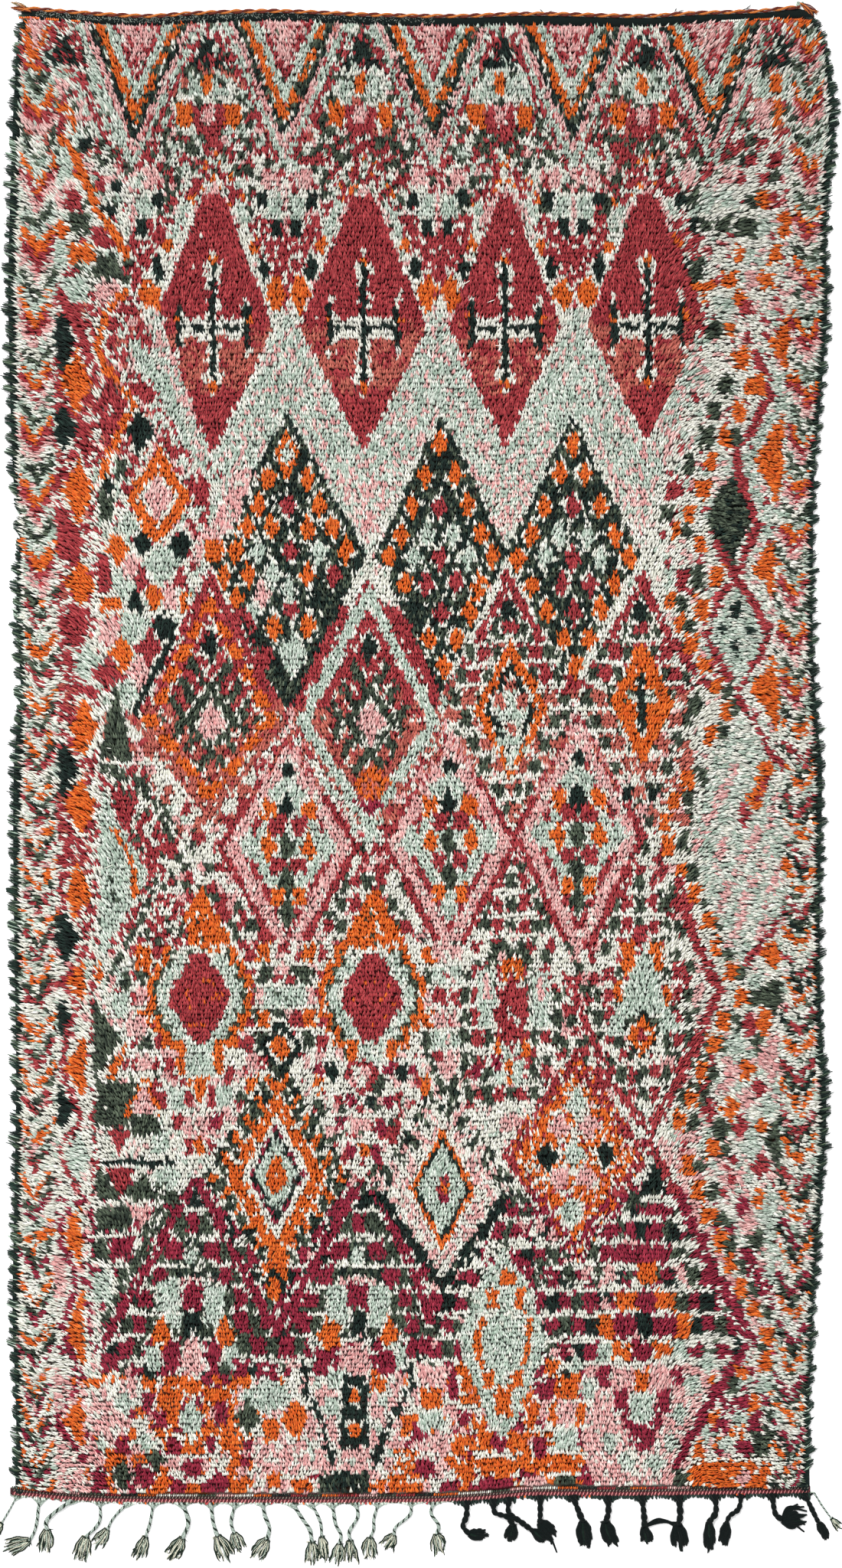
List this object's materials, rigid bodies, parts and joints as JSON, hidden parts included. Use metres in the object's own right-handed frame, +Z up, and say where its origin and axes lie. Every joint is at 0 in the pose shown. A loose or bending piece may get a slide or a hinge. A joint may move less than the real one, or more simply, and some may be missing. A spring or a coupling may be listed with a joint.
{
  "type": "moroccan pile rug",
  "caption": "Long hand-knotted pile rug with a lozenge pattern, wrapped dark selvedges, a flat-woven top end and braided, tasselled warp ends at the bottom.",
  "frame": {"origin": "on the floor, under the middle of the whole rug", "axes": "+X across the rug to the right, +Y along it towards the flat-woven dark end, +Z up out of the pile"},
  "size_m": [1.8906, 3.475, 0.021],
  "materials": {
    "pile": "knotted wool pile in ivory, sage, pink, coral, crimson, orange and charcoal, matt",
    "selvedge": "dark green-black hair yarn, wrapped, matt",
    "dark_band": "flat-woven dark green wool with light flecks, matt",
    "twined_cord": "twined orange and madder wool, matt",
    "madder_band": "twined madder, taupe and coloured wool, matt",
    "grey_fringe": "braided grey-green wool warp, matt",
    "black_fringe": "braided green-black wool warp, matt"
  },
  "bodies": {
    "root": {"pile_field": "pile", "selvedge_left": "selvedge", "selvedge_right": "selvedge", "top_band": "dark_band", "top_cord": "twined_cord", "bottom_band": "madder_band", "fringe_grey": "grey_fringe", "fringe_black": "black_fringe", "corner_cord": "grey_fringe"}
  },
  "joints": []
}
